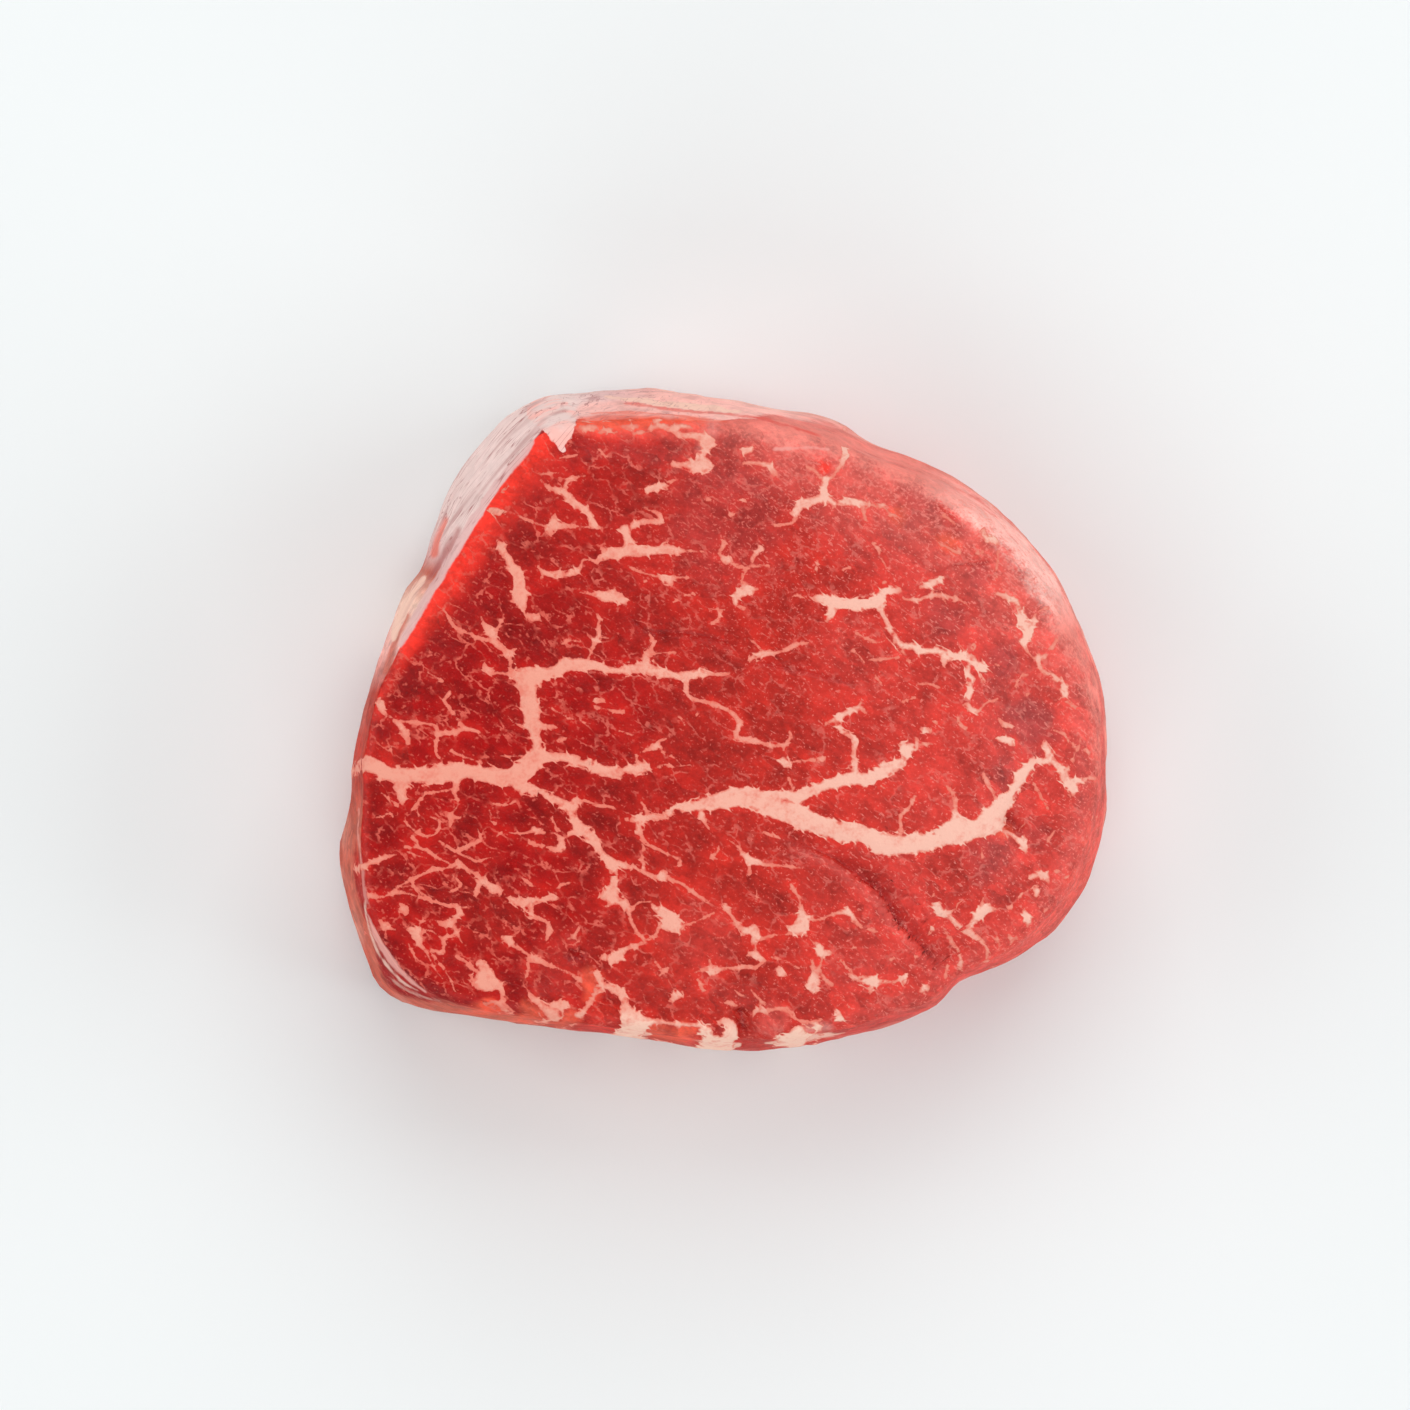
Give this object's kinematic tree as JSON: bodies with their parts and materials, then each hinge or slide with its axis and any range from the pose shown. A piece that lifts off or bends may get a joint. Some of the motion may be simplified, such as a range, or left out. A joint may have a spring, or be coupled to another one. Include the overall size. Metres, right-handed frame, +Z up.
{
  "type": "raw beef fillet steak",
  "caption": "Thick marbled slice of raw beef fillet with a flat base, a crisp cut rim on one side and a soft rolled shoulder on the other.",
  "frame": {"origin": "middle of the flat base, on the surface the steak lies on", "axes": "+Z up through the thickness; +X along the steak's width towards its rounded, soft-shouldered end; +Y towards the fatty ledge beside the silverskin flank"},
  "size_m": [0.0928, 0.0798, 0.0401],
  "materials": {
    "raw_beef": "satin"
  },
  "bodies": {
    "root": {"steak": "raw_beef"}
  },
  "joints": []
}
